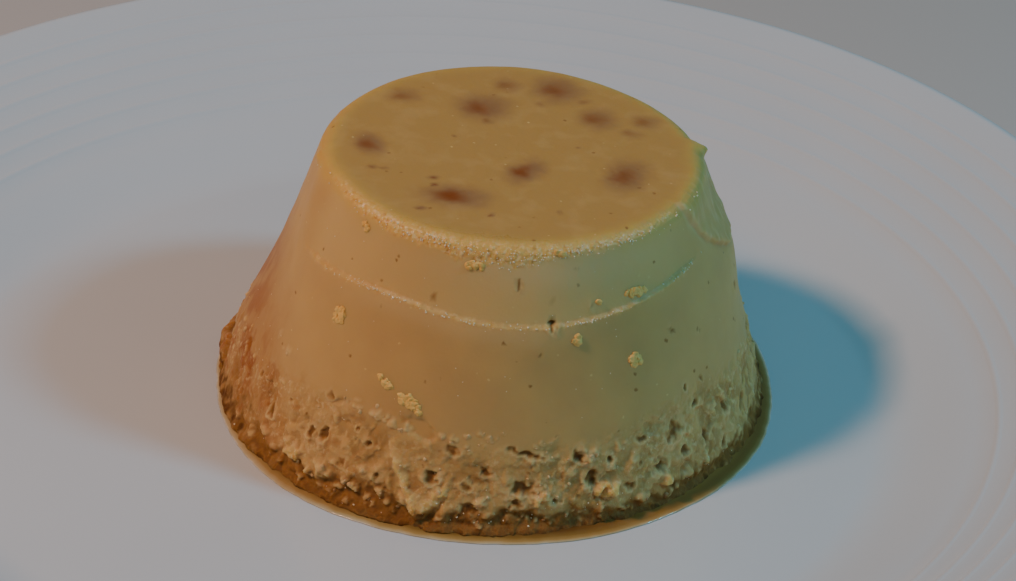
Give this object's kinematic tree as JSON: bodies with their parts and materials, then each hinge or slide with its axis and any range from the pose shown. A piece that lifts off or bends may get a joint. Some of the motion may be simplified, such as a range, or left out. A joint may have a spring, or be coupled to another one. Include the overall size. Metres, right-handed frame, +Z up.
{
  "type": "panna cotta on a plate",
  "caption": "Small moulded panna cotta, a leaning truncated cone with a crumbly pitted foot, turned out on a round white dessert plate in a thin ring of caramel syrup.",
  "frame": {"origin": "on the table under the centre of the plate's foot ring", "axes": "+Z up; the side of the pudding with the pressed-in panel faces -Y; +X to that side's right"},
  "size_m": [0.21, 0.21, 0.0452],
  "materials": {
    "plate_porcelain": "white glazed porcelain, glossy",
    "set_cream": "set cream and custard, moist satin, stained brown at the foot",
    "caramel_syrup": "thin amber-brown syrup, wet gloss"
  },
  "bodies": {
    "root": {"plate": "plate_porcelain", "panna_cotta": "set_cream", "syrup": "caramel_syrup"}
  },
  "joints": []
}
